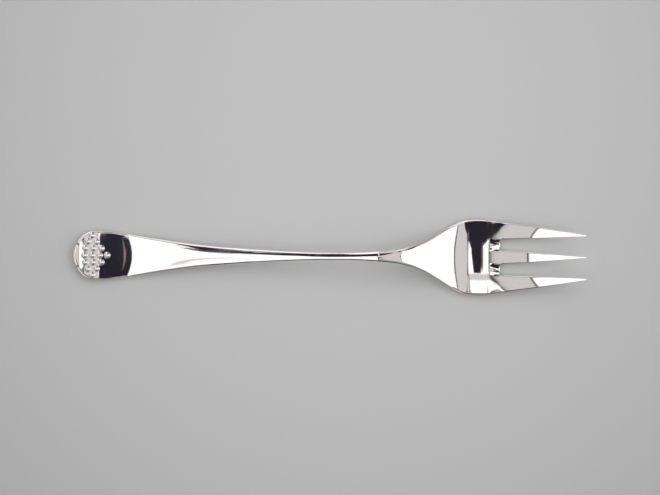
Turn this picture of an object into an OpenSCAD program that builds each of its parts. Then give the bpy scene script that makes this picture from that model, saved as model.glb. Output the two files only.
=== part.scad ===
// Pastry fork with three tines, forged in one piece of polished metal.
// It lies on its back with the tines turned up. +X runs along it to the tine tips, +Y is
// its left side and +Z is up. The origin is in the middle of its footprint, on the table.
// Inside the functions x is measured from the handle end, and y from the middle line.

/* [Lengths] */
// Length of the broad rounded end of the handle
end_len = 17; // [13:0.5:24]
// Length of the tapering part of the handle
taper_len = 36; // [24:1:48]
// Length of the slender stem
stem_len = 36.5; // [24:0.5:48]
// Length of the neck, over its crest
neck_len = 9.5; // [7:0.5:13]
// Length of the flaring shoulders
shoulder_len = 12.5; // [9:0.5:18]
// Length of the palm, from the shoulders to the slots
palm_len = 13.5; // [10:0.5:18]
// Length of the tines, from the slots' roots to the tips
tine_len = 25; // [18:0.5:34]
// Length of the rounding at the handle's tip, seen from above
end_round = 6.3; // [4:0.1:9]

/* [Widths] */
// Width of the handle's broad end
end_w = 14.2; // [12.6:0.1:18]
// Width of the stem at its thinnest
stem_w = 2.6; // [2:0.1:4]
// Width of the head at its widest
head_w = 22; // [18:0.1:28]
// Width of the head at the slots' roots
root_w = 20.7; // [17:0.1:26]
// Distance between the outer tines' tips
tip_spread = 12.7; // [10:0.1:18]
// Width of the middle tine at its root
middle_w = 3.9; // [3:0.1:5]
// Width of each slot at its root
slot_w = 3.3; // [2.5:0.1:4]
// Radius of the corners at the slots' roots
slot_corner = 1.1; // [0.6:0.05:1.4]
// Width of a tine at its tip
tip_w = 0.45; // [0.3:0.05:0.8]

/* [Thickness] */
// Thickness of the handle's broad end
end_t = 1.9; // [1.4:0.1:2.6]
// Thickness of the stem
stem_t = 2.9; // [2:0.1:3.6]
// Thickness of the palm
palm_t = 1.6; // [1.2:0.1:2.2]
// Thickness of a tine at its tip
tip_t = 0.8; // [0.6:0.1:1.2]
// Radius of the rounded rim
rim_r = 0.45; // [0.2:0.05:0.6]
// Radius of the stem's edges
stem_edge_r = 0.8; // [0.3:0.05:1]

/* [Bends] */
// Slope of the top at the handle's tip, in degrees
end_angle = -9; // [-14:0.5:0]
// Slope of the stem, in degrees
stem_angle = 6.3; // [3:0.1:9]
// Steepest slope of the shoulders, in degrees
shoulder_angle = -38; // [-45:1:-25]
// Slope of the top at the tine tips, in degrees
tip_angle = 13; // [6:0.5:20]
// Fall of the handle's top from its middle line to its edges
handle_crown = 0.5; // [0:0.05:0.8]
// Rise of the palm from its middle line to its edges
palm_hollow = 0.5; // [0:0.05:1]
// Depth of the short gutter that leads into each slot
dish_depth = 0.33; // [0:0.01:0.5]
// Length of that gutter, back from the slot's root
dish_len = 3; // [1:0.1:5]
// How far the handle's last bend swings back towards its edges
handle_swing = 1.6; // [0:0.1:3]
// How far the bend of the tines swings forward towards the sides
tine_swing = 5; // [0:0.2:6]
// Depth worn flat where the fork rests on the table
land_depth = 0.04; // [0.01:0.01:0.1]

/* [Ornament] */
// Width of a raised bead
bead_w = 1.7; // [1:0.1:1.8]
// Height of a raised bead
bead_h = 0.45; // [0.2:0.05:0.7]
// Distance of the foremost bead from the handle's tip
bead_start = 3.4; // [2.6:0.1:4]
// Distance of the outermost beads from the handle's edges
bead_margin = 1.3; // [1.2:0.1:1.6]
// Distance between one arc of beads and the next
bead_pitch = 2.2; // [2:0.1:2.4]
// Beads in the outer arc, and two fewer in each arc behind it
bead_count = 7; // [3:2:7]

/* [Hidden] */
metal = "silver";

// Places along the fork where one section ends and the next begins
taper_x = end_len;
stem_x = taper_x + taper_len;
neck_x = stem_x + stem_len;
shoulder_x = neck_x + neck_len;
palm_x = shoulder_x + shoulder_len;
root_x = palm_x + palm_len;
fork_len = root_x + tine_len;

// Fineness of the surfaces
edge_steps = 3;
cross_steps = 8;
palm_steps = 20;
tine_steps = 4;
fine_gap_share = 1 / 14;
wide_gap_share = 1 / 18;

// A place at a share of the way from one value to another
function between(a, b, share) = a + (b - a) * share;

// The piece of a table of stations that holds x, by the number of its first station
function piece_of(table, x, i = 0) =
    i + 2 >= len(table) || x <= table[i + 1][0] ? i : piece_of(table, x, i + 1);

// The slope of the smooth line through a table at station i
function station_slope(table, i) =
    let(
        a = table[max(i - 1, 0)],
        b = table[min(i + 1, len(table) - 1)]
    )
    (b[1] - a[1]) / (b[0] - a[0]);

// The value at x of the smooth line through a table of [place, value] stations
function along(table, x) =
    let(
        i = piece_of(table, x),
        a = table[i],
        b = table[i + 1],
        run = b[0] - a[0],
        u = min(max((x - a[0]) / run, 0), 1),
        rise = b[1] - a[1],
        from = station_slope(table, i) * run - rise,
        to = rise - station_slope(table, i + 1) * run
    )
    a[1] + rise * u + u * (1 - u) * (from * (1 - u) + to * u);

// Outline, as [place, half width] stations. The shares run from the stem's width to the
// width of the handle end, and from the stem's width to the width of the head.
end_outline_shares = [[0.65, 0.983], [0.82, 0.9], [1, 0.824]];
taper_outline_shares = [[0.24, 0.595], [0.56, 0.335], [1, 0.136]];
stem_outline_shares = [[0.37, 0.028], [0.73, 0]];
neck_outline_shares = [[0, 0.04], [0.34, 0.064], [0.65, 0.1], [1, 0.181]];
shoulder_outline_shares = [[0.2, 0.265], [0.43, 0.4], [0.66, 0.574], [0.9, 0.766]];
palm_outline_shares = [[0, 0.838], [0.12, 0.918], [0.24, 0.972], [0.45, 1], [0.74, 0.985]];
tine_outline_shares = [[0, 1], [0.34, 0.69], [0.69, 0.345], [0.92, 0.09], [1, 0]];
middle_tine_shares = [[0, 1], [0.34, 0.74], [0.58, 0.46], [0.92, 0.04], [1, 0]];

outer_tip_w = tip_spread + tip_w;
outline = concat(
    [[end_round, end_w / 2]],
    [for (s = end_outline_shares) [end_len * s[0], between(stem_w, end_w, s[1]) / 2]],
    [for (s = taper_outline_shares) [taper_x + taper_len * s[0], between(stem_w, end_w, s[1]) / 2]],
    [for (s = stem_outline_shares) [stem_x + stem_len * s[0], between(stem_w, end_w, s[1]) / 2]],
    [for (s = neck_outline_shares) [neck_x + neck_len * s[0], between(stem_w, head_w, s[1]) / 2]],
    [
        for (s = shoulder_outline_shares)
        [shoulder_x + shoulder_len * s[0], between(stem_w, head_w, s[1]) / 2]
    ],
    [for (s = palm_outline_shares) [palm_x + palm_len * s[0], between(stem_w, head_w, s[1]) / 2]],
    [for (s = tine_outline_shares) [root_x + tine_len * s[0], between(outer_tip_w, root_w, s[1]) / 2]]
);
middle_outline = [
    for (s = middle_tine_shares) [root_x + tine_len * s[0], between(tip_w, middle_w, s[1]) / 2]
];

// The handle's tip is half an ellipse, left a little blunt
blunt_share = 0.16;
function half_w(x) =
    x < end_round
    ? end_w / 2 * max(blunt_share, sqrt(1 - pow(1 - x / end_round, 2)))
    : along(outline, x);

// A slot's corner widens the tines beside it, by this much at x
function corner_fill(x) =
    let(reach = min(max(x - root_x, 0), slot_corner))
    slot_corner - sqrt(pow(slot_corner, 2) - pow(slot_corner - reach, 2));
function middle_edge(x) = along(middle_outline, max(x, root_x)) + corner_fill(x);
function outer_edge(x) =
    between(
        middle_w / 2 + slot_w,
        (tip_spread - tip_w) / 2,
        max(x - root_x, 0) / tine_len
    ) - corner_fill(x);

// Side view of the top along its middle line: a chain of bends, as [place, slope]
// stations between which the slope changes evenly
bends = [
    [0, end_angle * 0.84],
    [end_len * 0.1, end_angle * 0.88],
    [end_len * 0.12, end_angle * 1.02],
    [end_len * 0.19, end_angle * 0.95],
    [end_len * 0.22, end_angle * 0.88],
    [end_len * 0.43, end_angle * 0.6],
    [end_len * 0.455, end_angle * 0.34],
    [end_len * 0.87, end_angle * 0.09],
    [end_len * 0.885, end_angle * 0.032],
    [end_len * 0.905, end_angle * 0.032],
    [end_len * 0.92, end_angle * 0.09],
    [taper_x + taper_len * 0.008, end_angle * 0.08],
    [taper_x + taper_len * 0.014, stem_angle * 1.14],
    [taper_x + taper_len * 0.09, stem_angle * 1.1],
    [taper_x + taper_len * 0.2, stem_angle * 1.02],
    [stem_x, stem_angle * 0.97],
    [stem_x + stem_len * 0.3, stem_angle * 0.96],
    [stem_x + stem_len * 0.99, stem_angle * 0.925],
    [neck_x + neck_len * 0.01, shoulder_angle * 0.07],
    [neck_x + neck_len * 0.63, shoulder_angle * 0.133],
    [neck_x + neck_len * 0.67, shoulder_angle * 0.147],
    [shoulder_x, shoulder_angle * 0.42],
    [shoulder_x + shoulder_len * 0.25, shoulder_angle * 0.88],
    [shoulder_x + shoulder_len * 0.5, shoulder_angle],
    [shoulder_x + shoulder_len * 0.75, shoulder_angle * 0.78],
    [palm_x, shoulder_angle * 0.13],
    [palm_x + palm_len * 0.29, shoulder_angle * 0.04],
    [palm_x + palm_len * 0.38, tip_angle * -0.01],
    [palm_x + palm_len * 0.61, tip_angle * 0.22],
    [palm_x + palm_len * 0.75, tip_angle * 0.34],
    [palm_x + palm_len * 0.9, tip_angle * 0.415],
    [root_x, tip_angle * 0.44],
    [root_x + tine_len * 0.308, tip_angle * 0.46],
    [root_x + tine_len * 0.345, tip_angle * 0.66],
    [root_x + tine_len * 0.7, tip_angle * 0.82],
    [fork_len, tip_angle]
];
grades = [for (b = bends) [b[0], tan(b[1])]];

// Height reached at station i of the chain
function climb(i) =
    i == 0 ? 0
    : climb(i - 1) + (grades[i][0] - grades[i - 1][0]) * (grades[i][1] + grades[i - 1][1]) / 2;
climbs = [for (i = [0 : len(grades) - 1]) climb(i)];

function grade(x) = lookup(x, grades);
function rise(x) =
    let(i = piece_of(grades, x))
    climbs[i] + (x - grades[i][0]) * (grades[i][1] + grade(x)) / 2;

// Thickness, crosswise shape and edge radius along the fork
thickness = [
    [0, end_t],
    [end_len, end_t],
    [taper_x + taper_len * 0.3, between(end_t, stem_t, 0.45)],
    [stem_x, stem_t],
    [neck_x, stem_t],
    [neck_x + neck_len * 0.5, between(palm_t, stem_t, 0.88)],
    [shoulder_x + shoulder_len * 0.4, between(palm_t, stem_t, 0.38)],
    [palm_x, between(palm_t, stem_t, 0.04)],
    [palm_x + palm_len * 0.5, palm_t],
    [root_x, palm_t],
    [fork_len, tip_t]
];
top_bow = [
    [0, -handle_crown * 0.1],
    [end_len * 0.8, -handle_crown * 0.2],
    [end_len, -handle_crown * 0.3],
    [taper_x + taper_len * 0.1, -handle_crown * 0.45],
    [taper_x + taper_len * 0.2, -handle_crown * 0.6],
    [taper_x + taper_len * 0.3, -handle_crown * 0.74],
    [taper_x + taper_len * 0.45, -handle_crown * 0.92],
    [taper_x + taper_len * 0.6, -handle_crown * 1.06],
    [taper_x + taper_len * 0.8, -handle_crown * 1.18],
    [stem_x, -handle_crown * 1.25],
    [neck_x, -handle_crown],
    [shoulder_x, -handle_crown * 0.2],
    [shoulder_x + shoulder_len * 0.6, palm_hollow * 0.6],
    [palm_x + palm_len * 0.3, palm_hollow],
    [palm_x + palm_len * 0.75, palm_hollow * 0.975],
    [root_x, palm_hollow * 0.885],
    [fork_len, palm_hollow * 0.36]
];
back_bow = [
    [0, handle_crown * 0.3],
    [end_len, handle_crown * 0.3],
    [stem_x, handle_crown * 0.8],
    [neck_x, handle_crown * 0.8],
    [shoulder_x, handle_crown * 0.6],
    [palm_x, palm_hollow],
    [root_x, palm_hollow],
    [fork_len, palm_hollow * 0.4]
];
edge_radius = [
    [0, rim_r],
    [taper_x, rim_r],
    [stem_x, stem_edge_r],
    [neck_x, stem_edge_r],
    [palm_x, rim_r * 0.9],
    [root_x, rim_r * 0.8],
    [fork_len, rim_r * 0.7]
];

function depth(x) = lookup(x, thickness) * sqrt(1 + pow(grade(x), 2));
function raw_back(x) = rise(x) - depth(x);

// The fork stands on the lowest places under its handle end and its palm, which both
// come down to the table and are worn flat there by land_depth
heel_x = end_len * 0.97;
sole_x = palm_x + palm_len * 0.32;
lean = (raw_back(sole_x) - raw_back(heel_x)) / (sole_x - heel_x);
function floor_line(x) = raw_back(heel_x) + (x - heel_x) * lean + land_depth;
function spine(x) = rise(x) - floor_line(x);

// Square of the share of the half width at which y lies
function bow_at(x, y) = pow(y / half_w(x), 2);

// A soft step from 0 at a to 1 at b
function smooth_step(a, b, x) =
    let(t = min(max((x - a) / (b - a), 0), 1))
    t * t * (3 - 2 * t);

// A short gutter leads into each slot
slot_y = (middle_w + slot_w) / 2;
function dish(x, y) =
    let(
        aside = min(abs(abs(y) - slot_y) / (slot_w / 2), 1),
        near = max(1 - max(root_x - x, 0) / dish_len, 0)
    )
    dish_depth * near * (1 - pow(aside, 2));

// The bend into the taper swings back off the middle line, and the bend of the tines
// swings forward, which changes the height by this much
handle_flat = tan(end_angle * 0.12);
tine_flat = tan(tip_angle * 0.34);
function knee(x, y) =
    let(
        from_end = smooth_step(end_len * 0.5, end_len * 0.8, x),
        on_handle = from_end * (1 - smooth_step(stem_x, neck_x, x)),
        on_tines = smooth_step(root_x - dish_len * 1.5, root_x, x),
        swing = handle_swing * on_handle * bow_at(x, y),
        lag = tine_swing * on_tines * pow(abs(y) / (root_w / 2), 3),
        back = rise(x + swing) - rise(x) - swing * handle_flat,
        forward = rise(x - lag) - rise(x) + lag * tine_flat
    )
    back + forward;

function line_z(x, y) = spine(x) + knee(x, y);
function top_z(x, y) = line_z(x, y) + lookup(x, top_bow) * bow_at(x, y) - dish(x, y);
function back_z(x, y) = max(line_z(x, y) - depth(x) + lookup(x, back_bow) * bow_at(x, y), 0);

// Rounding of the blunt ends: how far the top and the back draw together at x
tip_round = 0.4 * end_t;
tine_tip_round = 0.4 * tip_t;
function end_draw(x) =
    let(
        round = x < end_round ? tip_round : tine_tip_round,
        reach = min(x, fork_len - x, round)
    )
    round - sqrt(pow(round, 2) - pow(round - reach, 2));

// Places across a section, each with its fall at the rounded edges
function across(y0, y1, r, steps) =
    concat(
        [
            for (i = [0 : edge_steps - 1])
            let(turn = 90 * i / edge_steps)
            [y0 + r * (1 - cos(turn)), r * (1 - sin(turn))]
        ],
        [for (i = [0 : steps]) [between(y0 + r, y1 - r, i / steps), 0]],
        [
            for (i = [edge_steps - 1 : -1 : 0])
            let(turn = 90 * i / edge_steps)
            [y1 - r * (1 - cos(turn)), r * (1 - sin(turn))]
        ]
    );

// One closed section from y0 to y1, clockwise as seen from the tine tips
wall_share = 0.4;
function section(x, y0, y1, steps) =
    let(
        draw = end_draw(x),
        wall = min(top_z(x, y0) - back_z(x, y0), top_z(x, y1) - back_z(x, y1)) - 2 * draw,
        r = min(lookup(x, edge_radius), wall * wall_share, (y1 - y0) * wall_share),
        row = across(y0, y1, r, steps),
        last = len(row) - 1
    )
    concat(
        [for (p = row) [x - fork_len / 2, p[0], top_z(x, p[0]) - p[1] - draw]],
        [
            for (i = [last : -1 : 0])
            let(p = row[i])
            [x - fork_len / 2, p[0], back_z(x, p[0]) + p[1] + draw]
        ]
    );

// Places of the sections from x0 to x1, about one gap apart
function places(x0, x1, gap) =
    let(n = ceil((x1 - x0) / gap))
    [for (i = [0 : n]) between(x0, x1, i / n)];

// A solid skin over a row of sections
module skin(rings) {
    n = len(rings[0]);
    last = len(rings) - 1;
    sides = [
        for (i = [0 : last - 1])
        for (j = [0 : n - 1])
        let(k = (j + 1) % n)
        each [
            [i * n + j, i * n + k, (i + 1) * n + k],
            [i * n + j, (i + 1) * n + k, (i + 1) * n + j]
        ]
    ];
    back_cap = [for (j = [n - 1 : -1 : 0]) j];
    front_cap = [for (j = [0 : n - 1]) last * n + j];
    polyhedron([for (ring = rings) each ring], concat([back_cap, front_cap], sides));
}

// A whole-width length of the fork through the places xs
module length_of_fork(xs, steps) {
    color(metal)
        skin([for (x = xs) section(x, -half_w(x), half_w(x), steps)]);
}

end_fan_steps = 9;
fine_gap = neck_len * fine_gap_share;
module handle_end() {
    tip_places = [
        for (i = [0 : end_fan_steps])
        end_round * (1 - cos(90 * i / end_fan_steps))
    ];
    rest = places(end_round, end_len, end_len * fine_gap_share);
    length_of_fork(concat(tip_places, [for (i = [1 : len(rest) - 1]) rest[i]]), cross_steps);
}

module handle_taper() {
    length_of_fork(places(taper_x, stem_x, taper_len * wide_gap_share), cross_steps);
}

module stem() {
    length_of_fork(places(stem_x, neck_x, stem_len * wide_gap_share), cross_steps);
}

module neck() {
    length_of_fork(places(neck_x, shoulder_x, fine_gap), cross_steps);
}

module shoulders() {
    length_of_fork(places(shoulder_x, palm_x, fine_gap), cross_steps);
}

module palm() {
    length_of_fork(places(palm_x, root_x, fine_gap), palm_steps);
}

// Places along a tine, closer together round the slot's corner and at the tip
corner_place_shares = [0, 0.1, 0.35, 0.7];
tip_place_shares = [1, 0.5, 0.15, 0];
function tine_places() =
    concat(
        [for (s = corner_place_shares) root_x + slot_corner * s],
        places(root_x + slot_corner, fork_len - 2 * tine_tip_round, tine_len * wide_gap_share),
        [for (s = tip_place_shares) fork_len - tine_tip_round * s]
    );

module outer_tine(side) {
    color(metal)
        skin([
            for (x = tine_places())
            let(inner = outer_edge(x), outer = half_w(x))
            side > 0
            ? section(x, inner, outer, tine_steps)
            : section(x, -outer, -inner, tine_steps)
        ]);
}

module left_tine() {
    outer_tine(1);
}

module middle_tine() {
    color(metal)
        skin([
            for (x = tine_places())
            section(x, -middle_edge(x), middle_edge(x), tine_steps)
        ]);
}

module right_tine() {
    outer_tine(-1);
}

// A bead is a low dome that stands square to the handle's top
bead_sphere_r = (pow(bead_w / 2, 2) + pow(bead_h, 2)) / (2 * bead_h);
module bead(x, y) {
    pitch = atan(grade(x) - lean);
    roll = atan(2 * lookup(x, top_bow) * y / pow(half_w(x), 2));
    translate([x - fork_len / 2, y, top_z(x, y)])
        rotate([roll, -pitch, 0])
            intersection() {
                translate([0, 0, bead_h - bead_sphere_r])
                    sphere(bead_sphere_r, $fn = 32);
                translate([-bead_w, -bead_w, 0])
                    cube([2 * bead_w, 2 * bead_w, 2 * bead_h]);
            }
}

// Beads in arcs round one centre, where the outer arc spans the handle end
arc_r = bead_pitch * (bead_count + 1) / 2;
arc_reach = end_w / 2 - bead_margin;
bead_step = 2 * asin(arc_reach / arc_r) / (bead_count - 1);
module bead_ornament() {
    color(metal)
        for (n = [bead_count : -2 : 1]) {
            r = arc_r - bead_pitch * (bead_count - n) / 2;
            step = bead_step * arc_r / r;
            for (i = [0 : n - 1]) {
                turn = (i - (n - 1) / 2) * step;
                bead(bead_start + arc_r - r * cos(turn), r * sin(turn));
            }
        }
}

handle_end();
handle_taper();
stem();
neck();
shoulders();
palm();
left_tine();
middle_tine();
right_tine();
bead_ornament();
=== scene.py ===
"""Pastry fork of polished metal, lying on its back on a pale table."""

import math

import bmesh
import bpy
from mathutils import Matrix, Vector


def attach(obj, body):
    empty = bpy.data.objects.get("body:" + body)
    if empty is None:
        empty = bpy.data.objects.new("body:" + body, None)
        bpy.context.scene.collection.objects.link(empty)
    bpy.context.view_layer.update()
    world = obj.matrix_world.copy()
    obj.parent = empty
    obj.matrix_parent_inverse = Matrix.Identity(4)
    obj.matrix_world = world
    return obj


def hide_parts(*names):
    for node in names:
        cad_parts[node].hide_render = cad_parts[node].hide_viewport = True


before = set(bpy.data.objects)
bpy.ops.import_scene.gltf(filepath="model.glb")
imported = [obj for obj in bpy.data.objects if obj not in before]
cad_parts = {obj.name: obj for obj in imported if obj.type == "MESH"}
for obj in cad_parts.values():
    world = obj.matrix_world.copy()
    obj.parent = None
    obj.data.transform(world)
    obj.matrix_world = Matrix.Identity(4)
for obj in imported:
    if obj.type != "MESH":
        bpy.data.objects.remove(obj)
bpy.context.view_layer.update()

# Sizes of the fork, in millimetres and degrees. Along the fork, x starts at the handle's
# tip; across it, y starts at the middle line.
END_LEN = 17.0
TAPER_LEN = 36.0
STEM_LEN = 36.5
NECK_LEN = 9.5
SHOULDER_LEN = 12.5
PALM_LEN = 13.5
TINE_LEN = 25.0
END_ROUND = 6.3

END_W = 14.2
STEM_W = 2.6
HEAD_W = 22.0
ROOT_W = 20.7
TIP_SPREAD = 12.7
MIDDLE_W = 3.9
SLOT_W = 3.3
SLOT_CORNER = 1.1
TIP_W = 0.45

END_T = 1.9
STEM_T = 2.9
PALM_T = 1.6
TIP_T = 0.8

END_ANGLE = -9.0
STEM_ANGLE = 6.3
SHOULDER_ANGLE = -38.0
TIP_ANGLE = 13.0
CROWN = 0.5
HOLLOW = 0.5
DISH_DEPTH = 0.33
DISH_LEN = 3.0
LAND_DEPTH = 0.04
HANDLE_SWING = 1.6
TINE_SWING = 5.0
END_BLUNT = 0.026

BEAD_W = 1.7
BEAD_H = 0.45
BEAD_FOOT = 0.14
BEAD_SINK = 0.06
BEAD_START = 3.4
BEAD_MARGIN = 1.3
BEAD_PITCH = 2.2
BEAD_COUNT = 7

# Places along the fork where one length ends and the next begins
TAPER_X = END_LEN
STEM_X = TAPER_X + TAPER_LEN
NECK_X = STEM_X + STEM_LEN
SHOULDER_X = NECK_X + NECK_LEN
PALM_X = SHOULDER_X + SHOULDER_LEN
ROOT_X = PALM_X + PALM_LEN
FORK_LEN = ROOT_X + TINE_LEN

MM = 0.001
NEAR = 0.0001


def between(a, b, share):
    """The value that lies a share of the way from a to b."""
    return a + (b - a) * share


def smooth_step(a, b, x):
    """0 before a and 1 past b, with a smooth change."""
    t = min(max((x - a) / (b - a), 0.0), 1.0)
    return t * t * (3 - 2 * t)


def stations(start, length, shares, low, high):
    """Places and values from a table of shares of a length and of a range."""
    return [(start + length * s, between(low, high, v)) for s, v in shares]


def piece_of(table, x):
    """Number of the pair of stations that x lies between."""
    for i in range(len(table) - 2):
        if x <= table[i + 1][0]:
            return i
    return len(table) - 2


def straight(table, x):
    """The value at x of the broken line through a table of stations."""
    i = piece_of(table, x)
    (x0, v0), (x1, v1) = table[i], table[i + 1]
    return between(v0, v1, min(max((x - x0) / (x1 - x0), 0.0), 1.0))


def along(table, x):
    """The value at x of the smooth line through a table of stations."""
    i = piece_of(table, x)

    def slope(k):
        a = table[max(k - 1, 0)]
        b = table[min(k + 1, len(table) - 1)]
        return (b[1] - a[1]) / (b[0] - a[0])

    (x0, v0), (x1, v1) = table[i], table[i + 1]
    run = x1 - x0
    rise = v1 - v0
    u = min(max((x - x0) / run, 0.0), 1.0)
    start = slope(i) * run - rise
    end = rise - slope(i + 1) * run
    return v0 + rise * u + u * (1 - u) * (start * (1 - u) + end * u)


# Outline, as half widths along the fork. Each table holds shares of the length and of the
# range of half widths.
END_SHARES = [(0.65, 0.983), (0.82, 0.9), (1, 0.824)]
TAPER_SHARES = [(0.24, 0.595), (0.56, 0.335), (1, 0.136)]
STEM_SHARES = [(0.37, 0.028), (0.73, 0)]
NECK_SHARES = [(0, 0.04), (0.34, 0.064), (0.65, 0.1), (1, 0.181)]
SHOULDER_SHARES = [(0.2, 0.265), (0.43, 0.4), (0.66, 0.574), (0.9, 0.766)]
PALM_SHARES = [(0, 0.838), (0.12, 0.918), (0.24, 0.972), (0.45, 1), (0.74, 0.985)]
TINE_SHARES = [(0, 1), (0.34, 0.69), (0.69, 0.345), (0.92, 0.09), (1, 0)]
MIDDLE_SHARES = [(0, 1), (0.34, 0.74), (0.58, 0.46), (0.92, 0.04), (1, 0)]
OUTLINE = (
    [(END_ROUND, END_W / 2)]
    + stations(0, END_LEN, END_SHARES, STEM_W / 2, END_W / 2)
    + stations(TAPER_X, TAPER_LEN, TAPER_SHARES, STEM_W / 2, END_W / 2)
    + stations(STEM_X, STEM_LEN, STEM_SHARES, STEM_W / 2, END_W / 2)
    + stations(NECK_X, NECK_LEN, NECK_SHARES, STEM_W / 2, HEAD_W / 2)
    + stations(SHOULDER_X, SHOULDER_LEN, SHOULDER_SHARES, STEM_W / 2, HEAD_W / 2)
    + stations(PALM_X, PALM_LEN, PALM_SHARES, STEM_W / 2, HEAD_W / 2)
    + stations(ROOT_X, TINE_LEN, TINE_SHARES, (TIP_SPREAD + TIP_W) / 2, ROOT_W / 2)
)
MIDDLE_OUTLINE = stations(ROOT_X, TINE_LEN, MIDDLE_SHARES, TIP_W / 2, MIDDLE_W / 2)


def corner_fill(x, corner):
    """How much a slot's round corner widens the tines beside it."""
    reach = min(max(x - (ROOT_X + SLOT_CORNER - corner), 0.0), corner)
    return corner - math.sqrt(corner**2 - (corner - reach) ** 2)


def half_w(x):
    """Half the width of the fork at x, a little blunt at the handle's tip."""
    if x < END_ROUND:
        return END_W / 2 * math.sqrt(max(1 - (1 - x / END_ROUND) ** 2, END_BLUNT))
    return along(OUTLINE, x)


# Side view of the top along its middle line: how steeply it climbs at each place
BENDS = [
    (0, END_ANGLE * 0.84),
    (END_LEN * 0.1, END_ANGLE * 0.88),
    (END_LEN * 0.12, END_ANGLE * 1.02),
    (END_LEN * 0.19, END_ANGLE * 0.95),
    (END_LEN * 0.22, END_ANGLE * 0.88),
    (END_LEN * 0.43, END_ANGLE * 0.6),
    (END_LEN * 0.455, END_ANGLE * 0.34),
    (END_LEN * 0.87, END_ANGLE * 0.09),
    (END_LEN * 0.885, END_ANGLE * 0.032),
    (END_LEN * 0.905, END_ANGLE * 0.032),
    (END_LEN * 0.92, END_ANGLE * 0.09),
    (TAPER_X + TAPER_LEN * 0.008, END_ANGLE * 0.08),
    (TAPER_X + TAPER_LEN * 0.014, STEM_ANGLE * 1.14),
    (TAPER_X + TAPER_LEN * 0.09, STEM_ANGLE * 1.1),
    (TAPER_X + TAPER_LEN * 0.2, STEM_ANGLE * 1.02),
    (STEM_X, STEM_ANGLE * 0.97),
    (STEM_X + STEM_LEN * 0.3, STEM_ANGLE * 0.96),
    (STEM_X + STEM_LEN * 0.99, STEM_ANGLE * 0.925),
    (NECK_X + NECK_LEN * 0.01, SHOULDER_ANGLE * 0.07),
    (NECK_X + NECK_LEN * 0.63, SHOULDER_ANGLE * 0.133),
    (NECK_X + NECK_LEN * 0.67, SHOULDER_ANGLE * 0.147),
    (SHOULDER_X, SHOULDER_ANGLE * 0.42),
    (SHOULDER_X + SHOULDER_LEN * 0.25, SHOULDER_ANGLE * 0.88),
    (SHOULDER_X + SHOULDER_LEN * 0.5, SHOULDER_ANGLE),
    (SHOULDER_X + SHOULDER_LEN * 0.75, SHOULDER_ANGLE * 0.78),
    (PALM_X, SHOULDER_ANGLE * 0.13),
    (PALM_X + PALM_LEN * 0.29, SHOULDER_ANGLE * 0.04),
    (PALM_X + PALM_LEN * 0.38, TIP_ANGLE * -0.01),
    (PALM_X + PALM_LEN * 0.61, TIP_ANGLE * 0.22),
    (PALM_X + PALM_LEN * 0.75, TIP_ANGLE * 0.34),
    (PALM_X + PALM_LEN * 0.9, TIP_ANGLE * 0.415),
    (ROOT_X, TIP_ANGLE * 0.44),
    (ROOT_X + TINE_LEN * 0.308, TIP_ANGLE * 0.46),
    (ROOT_X + TINE_LEN * 0.345, TIP_ANGLE * 0.66),
    (ROOT_X + TINE_LEN * 0.7, TIP_ANGLE * 0.82),
    (FORK_LEN, TIP_ANGLE),
]
# The two knees, where the bend off the middle line swings back or forward: from where to
# where the swing grows, and the grade at which it changes no height
HANDLE_KNEE = (END_LEN * 0.5, END_LEN * 0.8)
HANDLE_FLAT = math.tan(math.radians(END_ANGLE * 0.12))
TINE_KNEE = (ROOT_X - DISH_LEN * 1.5, ROOT_X)
TINE_FLAT = math.tan(math.radians(TIP_ANGLE * 0.34))
GRADES = [(x, math.tan(math.radians(angle))) for x, angle in BENDS]
CLIMBS = [0.0]
for (x0, g0), (x1, g1) in zip(GRADES, GRADES[1:]):
    CLIMBS.append(CLIMBS[-1] + (x1 - x0) * (g0 + g1) / 2)

THICKNESS = [
    (0, END_T),
    (END_LEN, END_T),
    (TAPER_X + TAPER_LEN * 0.3, between(END_T, STEM_T, 0.45)),
    (STEM_X, STEM_T),
    (NECK_X, STEM_T),
    (NECK_X + NECK_LEN * 0.5, between(PALM_T, STEM_T, 0.88)),
    (SHOULDER_X + SHOULDER_LEN * 0.4, between(PALM_T, STEM_T, 0.38)),
    (PALM_X, between(PALM_T, STEM_T, 0.04)),
    (PALM_X + PALM_LEN * 0.5, PALM_T),
    (ROOT_X, PALM_T),
    (FORK_LEN, TIP_T),
]
# How much higher the edges lie than the middle line, on the top and on the back
TOP_BOW = [
    (0, -CROWN * 0.1),
    (END_LEN * 0.8, -CROWN * 0.2),
    (END_LEN, -CROWN * 0.3),
    (TAPER_X + TAPER_LEN * 0.1, -CROWN * 0.45),
    (TAPER_X + TAPER_LEN * 0.2, -CROWN * 0.6),
    (TAPER_X + TAPER_LEN * 0.3, -CROWN * 0.74),
    (TAPER_X + TAPER_LEN * 0.45, -CROWN * 0.92),
    (TAPER_X + TAPER_LEN * 0.6, -CROWN * 1.06),
    (TAPER_X + TAPER_LEN * 0.8, -CROWN * 1.18),
    (STEM_X, -CROWN * 1.25),
    (NECK_X, -CROWN),
    (SHOULDER_X, -CROWN * 0.2),
    (SHOULDER_X + SHOULDER_LEN * 0.6, HOLLOW * 0.6),
    (PALM_X + PALM_LEN * 0.3, HOLLOW),
    (PALM_X + PALM_LEN * 0.75, HOLLOW * 0.975),
    (ROOT_X, HOLLOW * 0.885),
    (FORK_LEN, HOLLOW * 0.36),
]
BACK_BOW = [
    (0, CROWN * 0.3),
    (END_LEN, CROWN * 0.3),
    (STEM_X, CROWN * 0.8),
    (NECK_X, CROWN * 0.8),
    (SHOULDER_X, CROWN * 0.6),
    (PALM_X, HOLLOW),
    (ROOT_X, HOLLOW),
    (FORK_LEN, HOLLOW * 0.4),
]
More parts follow.
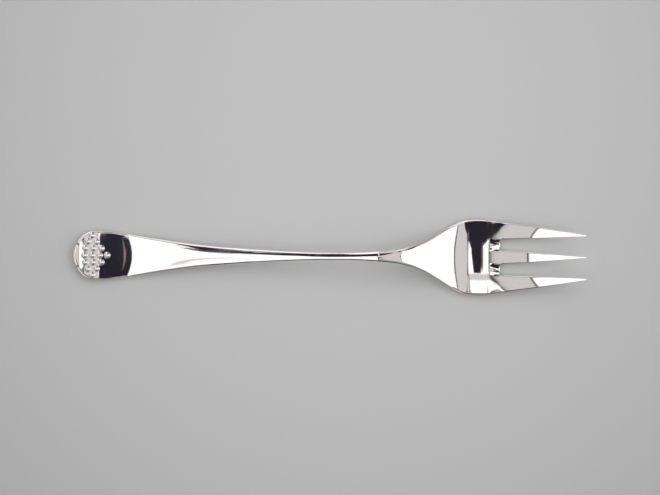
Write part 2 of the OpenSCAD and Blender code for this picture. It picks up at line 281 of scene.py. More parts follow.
# Width of the rolled rim, which is softer on the stem and finer on the tines
RIM = [
    (0, 1.2),
    (END_ROUND * 0.4, 0.9),
    (END_ROUND, 0.65),
    (TAPER_X, 0.5),
    (STEM_X, 0.9),
    (NECK_X, 0.9),
    (SHOULDER_X, 0.95),
    (PALM_X, 0.75),
    (PALM_X + PALM_LEN * 0.3, 0.5),
    (ROOT_X, 0.36),
    (ROOT_X + TINE_LEN * 0.8, 0.3),
    (FORK_LEN, 0.2),
]
RIM_SQUASH = 0.6
ROOT_RIM = straight(RIM, ROOT_X)


def rise(x):
    """Height of the top's middle line over the handle's tip, before the fork is set down."""
    i = piece_of(GRADES, x)
    return CLIMBS[i] + (x - GRADES[i][0]) * (GRADES[i][1] + straight(GRADES, x)) / 2


def depth(x):
    """Thickness at x, measured straight down."""
    return straight(THICKNESS, x) * math.sqrt(1 + straight(GRADES, x) ** 2)


def raw_back(x):
    """Height of the back's middle line, before the fork is set down."""
    return rise(x) - depth(x)


# The fork stands on its heel and its sole, worn flat there
HEEL_X = END_LEN * 0.97
SOLE_X = PALM_X + PALM_LEN * 0.32
LEAN = (raw_back(SOLE_X) - raw_back(HEEL_X)) / (SOLE_X - HEEL_X)


def spine(x):
    """Height of the top's middle line over the table."""
    return rise(x) - raw_back(HEEL_X) - (x - HEEL_X) * LEAN - LAND_DEPTH


# The middle of each slot, and half of the straight part of its root
SLOT_Y = (MIDDLE_W + SLOT_W) / 2
FLAT_HALF = SLOT_W / 2 - SLOT_CORNER


def dish(x, y):
    """How far the metal falls away in the short gutter that leads into each slot."""
    aside = min(abs(abs(y) - SLOT_Y) / (SLOT_W / 2), 1.0)
    near = max(1 - max(ROOT_X - x, 0.0) / DISH_LEN, 0.0)
    return DISH_DEPTH * near * (1 - aside**2)


def knee(x, y):
    """How much the bend into the taper swings back, and the bend of the tines forward,
    off the middle line, as a change of height."""
    on_handle = smooth_step(*HANDLE_KNEE, x) * (1 - smooth_step(STEM_X, NECK_X, x))
    on_tines = smooth_step(*TINE_KNEE, x)
    swing = HANDLE_SWING * on_handle * (y / half_w(x)) ** 2
    lag = TINE_SWING * on_tines * abs(2 * y / ROOT_W) ** 3
    back = rise(x + swing) - rise(x) - swing * HANDLE_FLAT
    return back + rise(x - lag) - rise(x) + lag * TINE_FLAT


def top_z(x, y):
    """Height of the top over the table."""
    return spine(x) + knee(x, y) + straight(TOP_BOW, x) * (y / half_w(x)) ** 2 - dish(x, y)


def back_z(x, y):
    """Height of the back over the table, worn flat where it would lie lower."""
    line = spine(x) + knee(x, y)
    return max(line - depth(x) + straight(BACK_BOW, x) * (y / half_w(x)) ** 2, 0.0)


# The blank. It starts as a flat sheet whose rows run along the fork and whose columns run
# across it. The sheet is drawn in by the radius of the rim, which is rolled on later.
OUTER_CELLS = 12
SLOT_CELLS = 8
ROWS = [0, OUTER_CELLS]
for cells in (SLOT_CELLS, OUTER_CELLS, SLOT_CELLS, OUTER_CELLS):
    ROWS.append(ROWS[-1] + cells)
ACROSS = ROWS[-1]
BANDS = len(ROWS) - 1
TIP_TURN = math.radians(30)
TIP_COLUMNS = 26
CORNER_COLUMNS = 9
RIM_STEPS = 5
# The column at the slots' roots, from which the rim reaches on to ROOT_X
ROOT_COLUMN = ROOT_X - ROOT_RIM
KNEE_RUN = 2.0
BEND_RUN = 0.6
BLADE_END = ROOT_X + TINE_LEN * 0.4
BLADE_GAP = 0.25
POINT_GAP = 0.4
# Places where the gap between columns changes, each with the gap before it
COLUMN_RUNS = [
    (END_ROUND, 0.0),
    (TAPER_X + KNEE_RUN, 0.15),
    (STEM_X, 0.6),
    (NECK_X - BEND_RUN, 0.6),
    (NECK_X + BEND_RUN, 0.15),
    (SHOULDER_X, 0.25),
    (PALM_X, 0.3),
    (ROOT_COLUMN, 0.15),
]

# Where the bands of rows begin and end across the column at the slots' roots
ROOT_HALF = ROOT_W / 2 - ROOT_RIM
ROOT_BREAKS = [
    -ROOT_HALF,
    -(SLOT_Y + FLAT_HALF),
    -(SLOT_Y - FLAT_HALF),
    SLOT_Y - FLAT_HALF,
    SLOT_Y + FLAT_HALF,
    ROOT_HALF,
]


def evenly(start, end, gap):
    """Places after start, up to end, about one gap apart."""
    n = math.ceil((end - start) / gap)
    return [between(start, end, (i + 1) / n) for i in range(n)]


def column_places():
    """Where the columns lie, and the number of the column at the slots' roots."""
    radius = END_ROUND - straight(RIM, 0)
    turns = [between(TIP_TURN, math.pi / 2, i / TIP_COLUMNS) for i in range(TIP_COLUMNS + 1)]
    xs = [END_ROUND - radius * math.cos(turn) for turn in turns]
    for (start, _), (end, gap) in zip(COLUMN_RUNS, COLUMN_RUNS[1:]):
        xs += evenly(start, end, gap)
    root = len(xs) - 1
    corner = SLOT_CORNER + ROOT_RIM
    for i in range(1, CORNER_COLUMNS + 1):
        turn = math.radians(90 * i / CORNER_COLUMNS)
        xs.append(ROOT_COLUMN + corner * (1 - math.cos(turn)))
    xs += evenly(xs[-1], BLADE_END, BLADE_GAP)
    xs += evenly(xs[-1], FORK_LEN - straight(RIM, FORK_LEN), POINT_GAP)
    return xs, root


def band_of(j):
    """The band of rows that row j belongs to, and its share of the way across the band."""
    band = max(n for n in range(BANDS) if ROWS[n] <= j)
    return band, (j - ROWS[band]) / (ROWS[band + 1] - ROWS[band])


def root_row(j):
    """Where row j crosses the column at the slots' roots."""
    band, share = band_of(j)
    return between(ROOT_BREAKS[band], ROOT_BREAKS[band + 1], share)


def handle_plan(column, x, j):
    """Place of row j on a column of the handle or the head."""
    share = 2 * j / ACROSS - 1
    half = half_w(x) - straight(RIM, x)
    if x < END_ROUND:
        turn = between(TIP_TURN, math.pi / 2, column / TIP_COLUMNS)
        rim = straight(RIM, END_ROUND * (1 - math.cos(turn)))
        half = (END_W / 2 - rim) * math.sin(turn)
        radius = END_ROUND - rim
        bulge = math.sqrt(1 - (share * math.sin(TIP_TURN)) ** 2) - math.cos(TIP_TURN)
        fade = (1 - column / TIP_COLUMNS) ** 2
        x = END_ROUND - radius * (math.cos(turn) + bulge * fade)
    settled = smooth_step(SHOULDER_X, ROOT_X - DISH_LEN, x)
    return x, half * between(share, root_row(j) / ROOT_HALF, settled)


def tine_plan(x, j):
    """Place of row j on a column of the tines."""
    rim = straight(RIM, x)
    fill = corner_fill(x, SLOT_CORNER + ROOT_RIM)
    middle = along(MIDDLE_OUTLINE, max(x, ROOT_X)) - rim + fill
    run = max(x - ROOT_X, 0.0) / TINE_LEN
    inner = between(MIDDLE_W / 2 + SLOT_W, (TIP_SPREAD - TIP_W) / 2, run) + rim - fill
    outer = half_w(x) - rim
    breaks = [-outer, -inner, -middle, middle, inner, outer]
    band, share = band_of(j)
    return x, between(breaks[band], breaks[band + 1], share)


def flat_sheet():
    """The sheet in plan, with its slots cut out. Each edge vertex knows which way is out."""
    xs, root = column_places()
    bm = bmesh.new()
    bmesh.ops.create_grid(bm, x_segments=len(xs) - 1, y_segments=ACROSS, size=1.0)
    cells = {}
    for v in bm.verts:
        i = round((v.co.x + 1) / 2 * (len(xs) - 1))
        j = round((v.co.y + 1) / 2 * ACROSS)
        cells[v] = (i, j)
    slots = []
    for f in bm.faces:
        i = min(cells[v][0] for v in f.verts)
        j = min(cells[v][1] for v in f.verts)
        if i >= root and (ROWS[1] <= j < ROWS[2] or ROWS[3] <= j < ROWS[4]):
            slots.append(f)
    for v in bm.verts:
        i, j = cells[v]
        x, y = handle_plan(i, xs[i], j) if i <= root else tine_plan(xs[i], j)
        v.co = (x, y, 0.0)
    bmesh.ops.delete(bm, geom=slots, context="FACES")
    out = bm.verts.layers.float_vector.new("out")
    for e in bm.edges:
        if not e.is_boundary:
            continue
        a, b = e.verts
        side = (b.co - a.co).cross(Vector((0, 0, 1)))
        if side.dot((a.co + b.co) / 2 - e.link_faces[0].calc_center_median()) < 0:
            side = -side
        a[out] = a[out] + side
        b[out] = b[out] + side
    for v in bm.verts:
        if v.is_boundary:
            v[out] = v[out].normalized()
    return bm


# The lengths of the fork, and where those before the tines end
LENGTHS = [
    "handle_end",
    "handle_taper",
    "stem",
    "neck",
    "shoulders",
    "palm",
    "right_tine",
    "middle_tine",
    "left_tine",
]
LENGTH_ENDS = (TAPER_X, STEM_X, NECK_X, SHOULDER_X, PALM_X, ROOT_COLUMN + NEAR)


def length_at(x, y):
    """Number of the length of the fork that a place in plan belongs to."""
    for number, end in enumerate(LENGTH_ENDS):
        if x < end:
            return number
    return len(LENGTH_ENDS) + (y > -SLOT_Y) + (y > SLOT_Y)


def lean(surface, x, y):
    """How the top or the back faces at a place, as a direction pointing up."""
    step = 0.01
    along_x = (surface(x + step, y) - surface(x - step, y)) / (2 * step)
    along_y = (surface(x, y + step) - surface(x, y - step)) / (2 * step)
    return Vector((-along_x, -along_y, 1.0))


def blank():
    """The whole fork as one closed skin. Each face holds the number of its length, and each
    vertex the way its surface lies."""
    bm = flat_sheet()
    # The back lies at height 0 and the top at 1, with the rim's steps between, until each
    # vertex is moved to its place
    grown = bmesh.ops.extrude_face_region(bm, geom=list(bm.faces), use_keep_orig=True)
    for item in grown["geom"]:
        if isinstance(item, bmesh.types.BMVert):
            item.co.z = 1.0
    walls = [e for e in bm.edges if abs(e.verts[0].co.z - e.verts[1].co.z) > 0.5]
    bmesh.ops.subdivide_edges(bm, edges=walls, cuts=2 * RIM_STEPS, use_grid_fill=True)
    bmesh.ops.recalc_face_normals(bm, faces=bm.faces)
    part = bm.faces.layers.int.new("part")
    for f in bm.faces:
        centre = f.calc_center_median()
        f[part] = length_at(centre.x, centre.y)
    out = bm.verts.layers.float_vector["out"]
    lie = bm.verts.layers.float_vector.new("lie")
    steps = 2 * RIM_STEPS + 1
    for v in bm.verts:
        level = round(v.co.z * steps)
        x, y = v.co.x, v.co.y
        rim = straight(RIM, x)
        below = level <= RIM_STEPS
        surface = back_z if below else top_z
        facing = -1 if below else 1
        if v[out].length > 0.5:
            climbed = RIM_STEPS - level if below else level - RIM_STEPS - 1
            turn = math.radians(90 * climbed / RIM_STEPS)
            x += v[out].x * rim * math.cos(turn)
            y += v[out].y * rim * math.cos(turn)
            x = min(max(x, 0.0), FORK_LEN)
            drop = min(RIM_SQUASH * rim, (top_z(x, y) - back_z(x, y)) / 2)
            z = surface(x, y) - facing * drop * (1 - math.sin(turn))
            roll = Vector(v[out]) * (drop / rim * math.cos(turn))
            v[lie] = (lean(surface, x, y) * (facing * math.sin(turn)) + roll).normalized()
        else:
            z = surface(x, y)
            v[lie] = (lean(surface, x, y) * facing).normalized()
        v.co = Vector((x - FORK_LEN / 2, y, z)) * MM
    bmesh.ops.recalc_face_normals(bm, faces=bm.faces)
    return bm


def add_piece(name, bm, material):
    """An object with the mesh, which is used up."""
    mesh = bpy.data.meshes.new(name)
    bm.to_mesh(mesh)
    bm.free()
    mesh.materials.append(material)
    piece = bpy.data.objects.new(name, mesh)
    bpy.context.scene.collection.objects.link(piece)
    return piece


def cut_length(whole, number, material):
    """One length cut from the blank and closed, shaded as part of the whole."""
    bm = whole.copy()
    part = bm.faces.layers.int["part"]
    others = [f for f in bm.faces if f[part] != number]
    bmesh.ops.delete(bm, geom=others, context="FACES")
    for f in bm.faces:
        f.smooth = True
    ends = [e for e in bm.edges if e.is_boundary]
    caps = bmesh.ops.holes_fill(bm, edges=ends, sides=0)["faces"]
    for f in caps:
        f.smooth = False
    bmesh.ops.recalc_face_normals(bm, faces=bm.faces)
    piece = add_piece(LENGTHS[number] + "_skin", bm, material)
    mesh = piece.data
    lie = mesh.attributes["lie"].data
    normals = []
    for face in mesh.polygons:
        for v in face.vertices:
            normals.append(lie[v].vector if face.use_smooth else face.normal)
    mesh.normals_split_custom_set([tuple(n) for n in normals])
    for layer in ("lie", "out", "part"):
        mesh.attributes.remove(mesh.attributes[layer])
    return piece


WELD = 1e-6


def lathe(profile, turns, place):
    """A closed dome: a profile from its foot to its top, spun round the Z axis and placed."""
    bm = bmesh.new()
    verts = [bm.verts.new((r, 0.0, z)) for r, z in profile]
    edges = [bm.edges.new(pair) for pair in zip(verts, verts[1:])]
    bmesh.ops.spin(
        bm,
        geom=verts + edges,
        axis=(0, 0, 1),
        cent=(0, 0, 0),
        angle=2 * math.pi,
        steps=turns,
        use_merge=True,
    )
    bmesh.ops.remove_doubles(bm, verts=bm.verts, dist=WELD)
    bmesh.ops.holes_fill(bm, edges=[e for e in bm.edges if e.is_boundary], sides=0)
    bmesh.ops.recalc_face_normals(bm, faces=bm.faces)
    for v in bm.verts:
        v.co = place(v.co)
    return bm


DOME_STEPS = 10
DOME_TURNS = 28
# The share of the dome's turn that is kept, and where the skirt below it begins: a share of
# the way out to the foot's edge, and a height
DOME_SHARE = 0.94
SKIRT_REACH = 0.4
SKIRT_RISE = 0.02


def bead_profile():
    """A dome with a soft foot, from the rim of its foot to its crown."""
    radius = BEAD_W / 2
    ball = (radius**2 + BEAD_H**2) / (2 * BEAD_H)
    widest = math.asin(radius / ball) * DOME_SHARE
    points = [
        (radius + BEAD_FOOT, -BEAD_SINK),
        (radius + BEAD_FOOT, 0.0),
        (radius + BEAD_FOOT * SKIRT_REACH, SKIRT_RISE),
    ]
    for i in range(DOME_STEPS + 1):
        turn = widest * (1 - i / DOME_STEPS)
        points.append((ball * math.sin(turn), BEAD_H - ball * (1 - math.cos(turn))))
    return points


def beads(material):
    """Raised beads in arcs round one centre, where the outer arc spans the handle end."""
    arc_r = BEAD_PITCH * (BEAD_COUNT + 1) / 2
    reach = END_W / 2 - BEAD_MARGIN
    first_step = 2 * math.asin(reach / arc_r) / (BEAD_COUNT - 1)
    whole = bmesh.new()
    for n in range(BEAD_COUNT, 0, -2):
        r = arc_r - BEAD_PITCH * (BEAD_COUNT - n) / 2
        for i in range(n):
            turn = (i - (n - 1) / 2) * first_step * arc_r / r
            cx = BEAD_START + arc_r - r * math.cos(turn)
            cy = r * math.sin(turn)

            def on_handle(co, cx=cx, cy=cy):
                x, y = cx + co.x, cy + co.y
                return Vector((x - FORK_LEN / 2, y, top_z(x, y) + co.z)) * MM

            one = bpy.data.meshes.new("bead")
            bm = lathe(bead_profile(), DOME_TURNS, on_handle)
            bm.to_mesh(one)
            bm.free()
            whole.from_mesh(one)
            bpy.data.meshes.remove(one)
    for f in whole.faces:
        is_sole = len(f.verts) > 4
        f.smooth = not is_sole
    return add_piece("bead_ornament_relief", whole, material)


# Numbers of outputs, where a node's first isn't the one that is used
GENERATED_OUT = 0
OBJECT_OUT = 3
MIX_COLOUR_OUT = 2


class Sum:
    """A number or colour on a wire between nodes, so that shader maths reads as plain
    expressions. The tree is the one that new nodes go into."""

    tree = None

    def __init__(self, wire):
        self.wire = wire

    @classmethod
    def node(cls, kind, settings=None, values=None, out=0):
        made = cls.tree.nodes.new(kind)
        for name, value in (settings or {}).items():
            if name == "ramp":
                cls.fill_ramp(made.color_ramp, value)
            else:
                setattr(made, name, value)
        for name, value in (values or {}).items():
            if isinstance(value, Sum):
                cls.tree.links.new(value.wire, made.inputs[name])
            else:
                made.inputs[name].default_value = value
        return cls(made.outputs[out])

    @staticmethod
    def fill_ramp(ramp, stops):
        while len(ramp.elements) < len(stops):
            ramp.elements.new(0.5)
        for element, (place, colour) in zip(ramp.elements, stops):
            element.position = place
            element.color = colour

    @classmethod
    def maths(cls, operation, *terms):
        return cls.node("ShaderNodeMath", {"operation": operation}, dict(enumerate(terms)))

    def __add__(self, other):
        return self.maths("ADD", self, other)

    def __radd__(self, other):
        return self.maths("ADD", other, self)

    def __sub__(self, other):
        return self.maths("SUBTRACT", self, other)

    def __rsub__(self, other):
        return self.maths("SUBTRACT", other, self)

    def __mul__(self, other):
        return self.maths("MULTIPLY", self, other)

    def __rmul__(self, other):
        return self.maths("MULTIPLY", other, self)

    def __truediv__(self, other):
        return self.maths("DIVIDE", self, other)

    def size(self):
        return self.maths("ABSOLUTE", self)

    def above(self, edge, soft):
        """0 below the edge and 1 above it, with a soft change."""
        return Sum.node(
            "ShaderNodeMapRange",
            {"interpolation_type": "SMOOTHSTEP"},
            {"Value": self, "From Min": edge - soft, "From Max": edge + soft},
        )

    def below(self, edge, soft):
        return 1 - self.above(edge, soft)

    def within(self, low, high, soft):
        return self.above(low, soft) * self.below(high, soft)


def lesser(a, b):
    return Sum.maths("MINIMUM", a, b)


def mix(share, a, b):
    """Colour a where the share is 0 and colour b where it is 1."""
    pair = {"Factor": share}
    for socket, colour in (("A", a), ("B", b)):
        pair[socket] = (*colour, 1) if isinstance(colour, tuple) else colour
    return Sum.node("ShaderNodeMix", {"data_type": "RGBA"}, pair, MIX_COLOUR_OUT)


def coordinates(number):
    """One of the ways in which a texture coordinate node tells the place."""
    return Sum.node("ShaderNodeTexCoord", out=number)


def split(vector):
    """The three numbers of a vector."""
    parts = Sum.node("ShaderNodeSeparateXYZ", values={"Vector": vector}).wire.node
    return [Sum(wire) for wire in parts.outputs]


def noise(place, scale, detail):
    return Sum.node("ShaderNodeTexNoise", values={"Vector": place, "Scale": scale, "Detail": detail})


def new_material(name):
    """A material and its shader, to which the nodes made next belong."""
    material = bpy.data.materials.new(name)
    material.use_nodes = True
    Sum.tree = material.node_tree
    return material, material.node_tree.nodes["Principled BSDF"]


DULL_METAL = (0.85, 0.84, 0.825)
CLEAR_METAL = (0.90, 0.895, 0.885)
VEIL_SCALE = 120.0
GRAIN_SCALE = 900.0
# Roughness where the metal is clear, and what the veil and the wear add to it
CLEAR_ROUGHNESS = 0.022
VEIL_ROUGHNESS = 0.022
WEAR_ROUGHNESS = 0.03
RELIEF_SHARE = 0.25
RELIEF_STRENGTH = 0.04
RELIEF_DEPTH = 0.00002
# The turns of the three sets of hairlines, each with its shift
HAIR_SETS = ((0.2, 0.0), (1.35, 3.0), (2.4, 7.0))
HAIR_SCALE = (90.0, 5200.0, 90.0)


def hairlines(place):
    """Fine straight scratches in three directions."""
    hairs = None
    for turn, shift in HAIR_SETS:
        lined_up = Sum.node(
            "ShaderNodeMapping",
            values={
                "Vector": place,
                "Rotation": (0.0, 0.0, turn),
                "Location": (shift, shift, 0.0),
                "Scale": HAIR_SCALE,
            },
        )
        hair = noise(lined_up, 1.0, 1.0).above(0.66, 0.05)
        hairs = hair if hairs is None else hairs + hair
    return hairs


def polished_metal():
    """Mirror-polished metal with hairline wear and a faint veil of handling marks."""
    material, shader = new_material("polished_metal")
    place = coordinates(OBJECT_OUT)
    veil = noise(place, VEIL_SCALE, 4.0)
    grain = noise(place, GRAIN_SCALE, 3.0)
    wear = hairlines(place) * veil.above(0.5, 0.15)
    colour = mix(veil, DULL_METAL, CLEAR_METAL)
    Sum.tree.links.new(colour.wire, shader.inputs["Base Color"])
    rough = CLEAR_ROUGHNESS + veil * VEIL_ROUGHNESS + wear * WEAR_ROUGHNESS
    Sum.tree.links.new(rough.wire, shader.inputs["Roughness"])
    shader.inputs["Metallic"].default_value = 1.0
    relief = wear * RELIEF_SHARE + grain * RELIEF_SHARE
    bump = Sum.node(
        "ShaderNodeBump",
        values={"Strength": RELIEF_STRENGTH, "Distance": RELIEF_DEPTH, "Height": relief},
    )
    Sum.tree.links.new(bump.wire, shader.inputs["Normal"])
    return material


def graph(x, points):
    """The broken line through the points, read at x."""
    start = points[0][0]
    run = points[-1][0] - start
    low = min(value for _, value in points)
    span = max(value for _, value in points) - low
    stops = []
    for place, value in points:
        grey = (value - low) / span
        stops.append(((place - start) / run, (grey, grey, grey, 1)))
    share = Sum.node("ShaderNodeValToRGB", {"ramp": stops}, {"Fac": (x - start) / run})
    return share * span + low


# The studio, as the metal mirrors it, in degrees east (a) and north (b) from overhead. Each
# table is a border: the first number is a place along it, the second where the border is.
LEFT_PANEL_EDGE = [(28.0, -10.6), (32.0, -3.0)]
HATCH_SIDE = [(-10.0, 6.15), (5.0, 6.15), (6.5, 6.35), (8.5, 6.45), (9.5, 6.9), (20.0, 6.9)]
HATCH_BRINK = [(4.5, 4.95), (5.5, 4.4)]
STREAK = [(-15.4, -6.0), (-14.6, -7.0), (-14.2, -8.0), (-13.9, -11.0)]
STAND_RIGHT = [
    (-45.0, 6.9),
    (-9.0, 6.9),
    (-8.0, 6.6),
    (-7.0, 6.0),
    (-6.3, 5.4),
    (-5.8, 5.15),
    (-4.3, 5.0),
    (-3.8, 4.4),
    (-2.8, 3.6),
    (-2.3, 3.0),
    (-1.5, 2.9),
    (1.0, 2.3),
    (4.1, 1.6),
]
STAND_LEFT = [
    (-60.0, -7.0),
    (-11.0, -6.9),
    (-9.5, -6.7),
    (-8.0, -6.5),
    (-6.2, -6.3),
    (-5.2, -6.0),
    (-4.4, -5.7),
    (-3.6, -4.6),
    (-2.9, -3.4),
    (-1.7, -2.9),
    (0.9, -2.7),
    (4.1, -2.4),
]
STAND_FOOT = [(-5.6, -14.0), (-5.0, -45.0), (1.6, -45.0), (2.4, -14.0), (7.0, -13.0)]
GAP_LOW = [
    (-14.7, 9.0),
    (-14.4, 8.5),
    (-14.15, 8.0),
    (-14.0, 10.5),
    (-13.8, 12.5),
    (-13.5, 12.0),
    (-13.2, 9.0),
    (-12.9, 6.0),
    (-12.6, 3.0),
    (-12.45, -2.0),
    (-12.3, -10.0),
    (-12.0, -12.0),
    (-11.5, -9.0),
    (-11.3, -3.0),
    (-11.15, 2.0),
    (-11.0, 4.0),
    (-10.7, 9.0),
]
GAP_TOP = [
    (-14.7, 9.5),
    (-14.2, 15.5),
    (-13.8, 19.0),
    (-13.4, 23.0),
    (-13.0, 25.0),
    (-12.6, 27.0),
    (-12.45, 34.0),
    (-12.2, 60.0),
    (-11.7, 76.0),
    (-11.4, 70.0),
    (-11.2, 45.0),
    (-10.7, 22.0),
]
UNDER_TABLE = [
    (-16.0, -56.0),
    (-13.0, -57.0),
    (-12.2, -60.0),
    (-11.4, -64.0),
    (-10.2, -62.0),
    (-3.0, -58.0),
]
ARM_LOW = [
    (-8.95, 15.0),
    (-3.8, 15.0),
    (1.0, 18.0),
    (2.5, 16.0),
    (3.5, 9.0),
    (5.2, 9.0),
    (6.4, 13.0),
    (7.3, 19.0),
]
ARM_TOP = [
    (-8.95, 30.0),
    (-3.8, 30.0),
    (1.0, 50.0),
    (2.8, 44.0),
    (4.6, 36.0),
    (6.3, 27.0),
    (7.3, 20.0),
]

# The light lost beside the hatch, by the degrees from its side
HATCH_SHADE = [(-2.2, 0.0), (-1.1, 0.12), (-0.6, 0.32), (-0.2, 0.65), (0.0, 0.65)]
# Lights of the studio's parts and losses in its dim ones, as shares of plain white
HORIZON_LIGHT = 0.34
SKY_LIGHT = 0.2
CEILING_LIGHT = 0.68
PANEL_LIGHT = 1.25
LOSS_AT_PANEL_END = 0.62
LOSS_ON_SHELF = 0.65
LOSS_ON_TRESTLE = 0.35
LOSS_ON_STREAK = 0.45
LOSS_ON_LINES = 0.85
LOSS_ON_CURTAIN = 0.9
BACKDROP_LIGHT = 0.5
# The tints of the studio where it is dim and where it is bright, and of its dark things
DIM_TINT = (1.0, 0.93, 0.93)
BRIGHT_TINT = (1.0, 0.985, 0.985)
STAND_COLOUR = (0.022, 0.020, 0.029)
GLEAM_COLOUR = (0.16, 0.108, 0.1)


def painted(light, where, level):
    """The light with another level where the share is 1."""
    return light * (1 - where) + where * level


def dimmed(light, where, loss):
    """The light with a share of it lost where the other share is 1."""
    return light * (1 - where * loss)


# In the next two functions, the numbers are degrees: where a thing begins, where it ends, and
# half the width of its soft edge.
def bright_studio(a, b):
    """Light from two big white panels, a grey ceiling with a white hatch in it, the thin
    dark frames between them and the dim things before them."""
    light = HORIZON_LIGHT + SKY_LIGHT * a.size().below(64.0, 6.0)
    light = painted(light, a.within(-10.0, 11.7, 0.12), CEILING_LIGHT)
    left_panel = a.above(-64.0, 1.0) * a.below(graph(b, LEFT_PANEL_EDGE), 0.12)
    right_panel = a.within(12.2, 86.0, 0.15) * b.within(-21.0, 21.0, 1.0)
    panel_end = a.within(-66.0, -27.0, 4.0)
    light = painted(light, left_panel + right_panel, PANEL_LIGHT - panel_end * LOSS_AT_PANEL_END)

    from_side = a + graph(b, HATCH_SIDE)
    brink = graph(b, HATCH_BRINK)
    light = light * (1 - graph(from_side, HATCH_SHADE) * from_side.below(0.2, 0.1))
    hatch = from_side.above(0.0, 0.1) * a.below(brink, 0.1) * b.within(-4.6, 32.0, 0.3)
    crossbar = b.within(4.3, 5.9, 0.12)
    light = painted(light, hatch * (1 - crossbar), PANEL_LIGHT)
    shelf = b.within(9.8, 40.0, 0.4) * a.within(-6.6, -3.3, 0.3)
    light = dimmed(light, shelf, LOSS_ON_SHELF)

    trestle = b.within(-78.0, -30.0, 2.0) * (1 - a.within(-17.0, -10.0, 0.3))
    light = dimmed(light, trestle, LOSS_ON_TRESTLE)
    streak = (b - graph(a, STREAK)).size().below(1.1, 0.6) * a.within(-15.4, -13.9, 0.1)
    light = dimmed(light, streak, LOSS_ON_STREAK)
    lines = a.within(11.6, 12.3, 0.1) + (a - brink).within(0.0, 0.45, 0.08)
    lines = lines + from_side.within(-0.25, 0.25, 0.08)
    edges = b.within(-86.0, -62.0, 1.0) + b.above(64.0, 1.0) * a.above(12.0, 0.2)
    light = dimmed(light, lesser(lines + edges, 1.0), LOSS_ON_LINES)
    curtain = a.within(12.5, 30.0, 1.0) * b.within(18.0, 62.0, 1.0)
    return dimmed(light, curtain, LOSS_ON_CURTAIN)


def dark_studio(a, b):
    """Where the dark things are: the camera's stand with its arm, and the gap beside the
    left panel, which goes on under the table."""
    stand = a.within(graph(b, STAND_LEFT), graph(b, STAND_RIGHT), 0.08)
    stand = stand * b.above(graph(a, STAND_FOOT), 0.5) * b.below(4.1, 0.1)
    arm = b.within(graph(a, ARM_LOW), graph(a, ARM_TOP), 0.5)
    arm = arm * (a.within(-8.95, -3.8, 0.05) + a.within(1.2, 7.3, 0.1))
    gap = b.within(graph(a, GAP_LOW), graph(a, GAP_TOP), 0.5) * a.within(-14.7, -10.7, 0.05)
    under = b.above(-88.0, 1.0) * b.below(graph(a, UNDER_TABLE), 1.0)
    under = under * (a.within(-17.0, -6.6, 0.2) + a.within(-3.0, 9.5, 0.2))
    frame_edge = a.within(-10.7, -8.95, 0.1) * b.within(-60.0, 25.0, 1.0)
    return lesser(stand + gap + under + frame_edge + arm, 1.0)


def studio_world():
    """The studio round the fork. The camera sees a plain backdrop in its place."""
    world = bpy.data.worlds.new("studio")
    bpy.context.scene.world = world
    world.use_nodes = True
    Sum.tree = world.node_tree
    world.node_tree.nodes.clear()
    east, north, high = split(coordinates(GENERATED_OUT))
    # Seen from the foot of a round sky, an angle is half as wide as from its middle. The foot
    # lies a little lower here, so that straight down has an angle too.
    a = Sum.maths("ARCTAN2", east, 1.0001 + high) * math.degrees(2)
    b = Sum.maths("ARCTAN2", north, 1.0001 + high) * math.degrees(2)
    light = bright_studio(a, b)
    dark = dark_studio(a, b)
    gleam = a.within(-3.5, -2.55, 0.15) * b.within(-3.0, 3.3, 1.0)
    for_camera = Sum.node("ShaderNodeLightPath")
    shown = Sum.node(
        "ShaderNodeVectorMath",
        {"operation": "SCALE"},
        {0: mix(light, DIM_TINT, BRIGHT_TINT), "Scale": painted(light, for_camera, BACKDROP_LIGHT)},
    )
    shown = mix(dark * (1 - for_camera), shown, STAND_COLOUR)
    shown = mix(gleam * (1 - for_camera), shown, GLEAM_COLOUR)
    back = Sum.node("ShaderNodeBackground", values={"Color": shown, "Strength": 1.0})
    output = Sum.tree.nodes.new("ShaderNodeOutputWorld")
    Sum.tree.links.new(back.wire, output.inputs["Surface"])


FLOOR_COLOUR = (0.692, 0.702, 0.702)
FLOOR_ROUGHNESS = 0.75
FLOOR_HALF = 1.5
CLOUD_SCALE = 6.0
CLOUD_DEPTH = 0.01
# A painted pool of light in the floor's colour: its middle in metres, how fast the painted shade
# darkens it with the square of the distance along X and Y, and the most that it loses
LIGHT_POOL_MIDDLE = (0.006, 0.037)
LIGHT_POOL_FALL = (11.5, 10.5)
LIGHT_POOL_LOSS = 0.3
# The light that the tines throw on the floor round them, painted into the floor's colour, in the
# same way
THROWN_MIDDLE = (0.0605, 0.0)
THROWN_FALL = (2500.0, 12000.0)
THROWN_LIGHT = 0.25


def fall_off(x, y, middle, fall):
    """How far light has fallen off at a place on the floor, 0 in the middle."""
    east = x - middle[0]
    north = y - middle[1]
    return east * east * fall[0] + north * north * fall[1]


def table():
    """The pale table that the fork lies on."""
    bm = bmesh.new()
    bmesh.ops.create_grid(bm, x_segments=1, y_segments=1, size=FLOOR_HALF)
    material, shader = new_material("pale_table")
    place = coordinates(OBJECT_OUT)
    x, y, _ = split(place)
    cloudy = tuple(c * (1 - CLOUD_DEPTH) for c in FLOOR_COLOUR)
    colour = mix(noise(place, CLOUD_SCALE, 3.0), cloudy, FLOOR_COLOUR)
    # Painted shade: the floor's colour darkens away from the middle of the painted pool of light
    far = lesser(fall_off(x, y, LIGHT_POOL_MIDDLE, LIGHT_POOL_FALL), LIGHT_POOL_LOSS)
    colour = mix(far, colour, (0.0, 0.0, 0.0))
    # Painted light: the floor's colour turns whiter round the tines, for the light that they throw
    past = lesser(fall_off(x, y, THROWN_MIDDLE, THROWN_FALL), 1.0)
    colour = mix((1 - past) * THROWN_LIGHT, colour, (1.0, 1.0, 1.0))
    Sum.tree.links.new(colour.wire, shader.inputs["Base Color"])
    shader.inputs["Roughness"].default_value = FLOOR_ROUGHNESS
    floor = add_piece("table", bm, material)


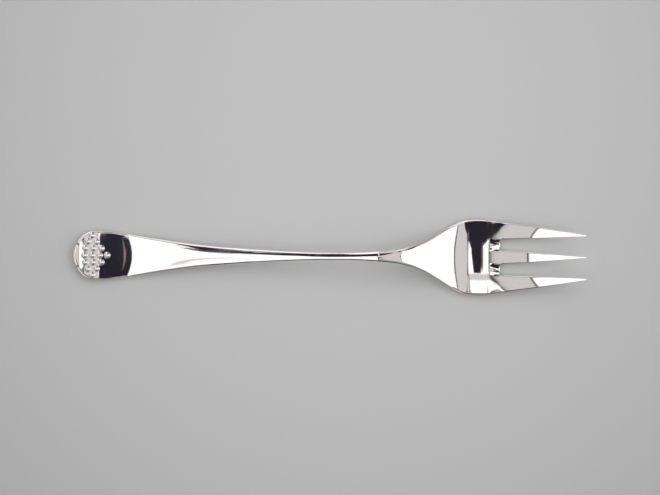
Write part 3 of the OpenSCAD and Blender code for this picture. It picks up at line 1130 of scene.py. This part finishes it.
# In millimetres: the camera's height, and that of the level at which the fork's length in the
# frame is measured
CAMERA_HEIGHT = 900.0
MEAN_HEIGHT = 5.0
SENSOR = 36.0
# How far the camera sees, in metres
CAMERA_REACH = 10.0
FRAME_W = 660
FRAME_H = 495
# Where the fork lies in the frame: its length, its middle and its turn, in pixels and degrees
FORK_PX = 514.4
MIDDLE_PX = (329.2, 256.4)
CAMERA_TURN = 0.3


def camera():
    """The camera straight over the fork, at the photo's framing."""
    eye = bpy.data.cameras.new("camera")
    eye.sensor_width = SENSOR
    width_mm = FRAME_W * FORK_LEN / FORK_PX
    eye.lens = SENSOR * (CAMERA_HEIGHT - MEAN_HEIGHT) / width_mm
    eye.clip_end = CAMERA_REACH
    eye.shift_x = (FRAME_W / 2 - MIDDLE_PX[0]) / FRAME_W
    eye.shift_y = (MIDDLE_PX[1] - FRAME_H / 2) / FRAME_W
    stand = bpy.data.objects.new("camera", eye)
    stand.location = (0, 0, CAMERA_HEIGHT * MM)
    stand.rotation_euler = (0, 0, math.radians(CAMERA_TURN))
    bpy.context.scene.collection.objects.link(stand)
    bpy.context.scene.camera = stand


# In metres and watts
LAMP_PLACE = (0.25, 0.55, 0.8)
LAMP_SIDES = (0.8, 0.5)
LAMP_WATTS = 1.6


def key_light():
    """A soft light from beyond the fork, which lays its shadow towards the viewer."""
    lamp = bpy.data.lights.new("key", "AREA")
    lamp.shape = "RECTANGLE"
    lamp.size = LAMP_SIDES[0]
    lamp.size_y = LAMP_SIDES[1]
    lamp.energy = LAMP_WATTS
    lamp.specular_factor = 0.0
    stand = bpy.data.objects.new("key", lamp)
    stand.location = LAMP_PLACE
    stand.rotation_euler = (-stand.location).to_track_quat("-Z", "Y").to_euler()
    stand.visible_camera = False
    stand.visible_glossy = False
    bpy.context.scene.collection.objects.link(stand)


bpy.context.scene.view_settings.view_transform = "Standard"
camera()
studio_world()
key_light()
table()

metal = polished_metal()
whole = blank()
for number, name in enumerate(LENGTHS):
    piece = cut_length(whole, number, metal)
    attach(piece, "root")
    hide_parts(name)
whole.free()
relief = beads(metal)
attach(relief, "root")
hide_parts("bead_ornament")
